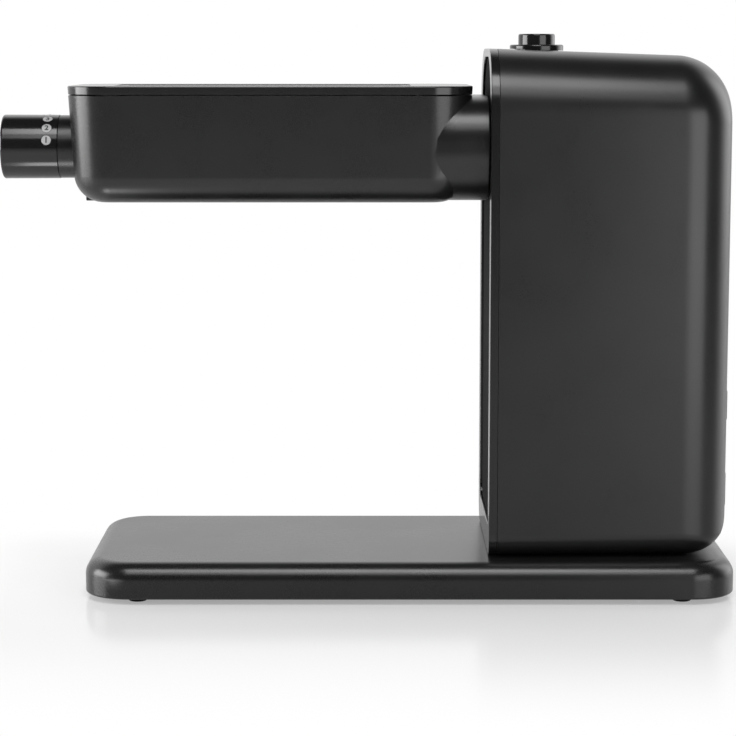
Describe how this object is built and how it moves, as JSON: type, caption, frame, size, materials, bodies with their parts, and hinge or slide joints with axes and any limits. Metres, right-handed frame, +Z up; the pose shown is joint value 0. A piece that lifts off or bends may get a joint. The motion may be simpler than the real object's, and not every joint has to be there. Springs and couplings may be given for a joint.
{
  "type": "electric pasta maker",
  "caption": "Free-standing electric pasta maker: drive tower on a flat base, side-hung roller head with thickness knob, press and cutter rollers and a release button.",
  "frame": {"origin": "Centre of the plan box on the surface that the four feet stand on.", "axes": "+X runs from the knob end towards the tower, +Y away from the front, +Z up."},
  "size_m": [0.3496, 0.125, 0.2646],
  "materials": {
    "gloss_black": "polished moulded black plastic",
    "satin_black": "satin moulded charcoal plastic",
    "matt_black": "finely textured matt black plastic",
    "rubber_black": "soft black rubber",
    "steel": "ground steel",
    "zinc": "cast light alloy",
    "nylon": "natural white nylon",
    "dark_nylon": "dark filled nylon",
    "brass": "machined brass",
    "board_green": "lacquered circuit board"
  },
  "bodies": {
    "stand": {"base_cover": "satin_black", "base_floor_plate": "matt_black", "foot_1": "rubber_black", "foot_2": "rubber_black", "foot_3": "rubber_black", "foot_4": "rubber_black", "base_screw_1": "steel", "base_screw_2": "steel", "base_screw_3": "steel", "base_screw_4": "steel", "tower_screw_1": "steel", "tower_screw_2": "steel", "tower_screw_3": "steel", "tower_screw_4": "steel", "tower_shell": "gloss_black", "tower_trim_frame": "gloss_black", "tower_side_panel": "matt_black", "spigot_socket": "dark_nylon", "gear_plate_front": "zinc", "gear_plate_rear": "zinc", "plate_spacer_1": "steel", "plate_spacer_2": "steel", "shaft_bush_front": "brass", "shaft_bush_rear": "brass", "motor_gearhead": "zinc", "motor_can": "steel", "motor_rear_cap": "dark_nylon", "control_board": "board_green", "button_bezel": "gloss_black", "button_spring": "steel", "retaining_spring": "steel", "switch_body": "matt_black", "power_inlet": "matt_black"},
    "output": {"output_shaft": "steel", "output_gear": "dark_nylon"},
    "motor_rotor": {"motor_pinion": "brass"},
    "button": {"release_button": "gloss_black"},
    "rocker": {"power_rocker": "gloss_black"},
    "head": {"head_body": "satin_black", "head_rim": "gloss_black", "hopper_guide": "satin_black", "roller_frame_left": "zinc", "roller_frame_right": "zinc", "head_spigot": "dark_nylon", "knob_collar": "satin_black"},
    "input": {"input_shaft": "steel", "input_pinion": "brass"},
    "press_front": {"press_roller_front": "steel", "press_gear_front": "nylon"},
    "carrier": {"gap_carrier": "zinc"},
    "press_rear": {"press_roller_rear": "steel", "press_gear_rear": "nylon"},
    "cutter_front": {"cutter_roller_front": "steel", "cutter_gear_front": "nylon"},
    "cutter_rear": {"cutter_roller_rear": "steel", "cutter_gear_rear": "nylon"},
    "knob": {"thickness_knob": "gloss_black", "knob_cam": "dark_nylon"}
  },
  "joints": [
    {"name": "output_spin", "type": "hinge", "parent": "stand", "child": "output", "pos_m": [0.1, 0, 0.211], "axis": [1, 0, 0], "continuous": true},
    {"name": "motor_spin", "type": "hinge", "parent": "stand", "child": "motor_rotor", "pos_m": [0.1, 0, 0.172], "axis": [1, 0, 0], "continuous": true},
    {"name": "button_press", "type": "slide", "parent": "stand", "child": "button", "axis": [0, 0, -1], "range_m": [0, 0.004], "stiffness_N_per_m": 600, "springref_m": -0.003, "deforming": ["button_spring", "retaining_spring"]},
    {"name": "rocker_tilt", "type": "hinge", "parent": "stand", "child": "rocker", "pos_m": [0.16978, 0, 0.086], "axis": [0, 1, 0], "range_deg": [-14, 0]},
    {"name": "head_pull", "type": "slide", "parent": "stand", "child": "head", "axis": [-1, 0, 0], "range_m": [0, 0.045], "deforming": ["retaining_spring"]},
    {"name": "input_spin", "type": "hinge", "parent": "head", "child": "input", "pos_m": [0.05, 0, 0.211], "axis": [1, 0, 0], "continuous": true},
    {"name": "press_front_spin", "type": "hinge", "parent": "head", "child": "press_front", "pos_m": [0, -0.01125, 0.22408], "axis": [1, 0, 0], "continuous": true},
    {"name": "press_rear_spin", "type": "hinge", "parent": "carrier", "child": "press_rear", "pos_m": [0, 0.01365, 0.22408], "axis": [1, 0, 0], "continuous": true},
    {"name": "cutter_front_spin", "type": "hinge", "parent": "head", "child": "cutter_front", "pos_m": [0, -0.00825, 0.19938], "axis": [1, 0, 0], "continuous": true},
    {"name": "cutter_rear_spin", "type": "hinge", "parent": "head", "child": "cutter_rear", "pos_m": [0, 0.00825, 0.19938], "axis": [1, 0, 0], "continuous": true},
    {"name": "knob_turn", "type": "hinge", "parent": "head", "child": "knob", "pos_m": [-0.16, 0, 0.211], "axis": [1, 0, 0], "range_deg": [0, 192]},
    {"name": "gap_slide", "type": "slide", "parent": "head", "child": "carrier", "axis": [0, -1, 0], "range_m": [0, 0.0024]}
  ],
  "couplings": [
    {"joint": "motor_spin", "follows": "output_spin", "ratio": -4.2},
    {"joint": "input_spin", "follows": "output_spin", "ratio": 1},
    {"joint": "press_front_spin", "follows": "output_spin", "ratio": -0.53333},
    {"joint": "press_rear_spin", "follows": "output_spin", "ratio": 0.53333},
    {"joint": "cutter_front_spin", "follows": "output_spin", "ratio": -0.72727},
    {"joint": "cutter_rear_spin", "follows": "output_spin", "ratio": 0.72727},
    {"joint": "knob_turn", "follows": "gap_slide", "rad_per_m": 1396.3}
  ]
}
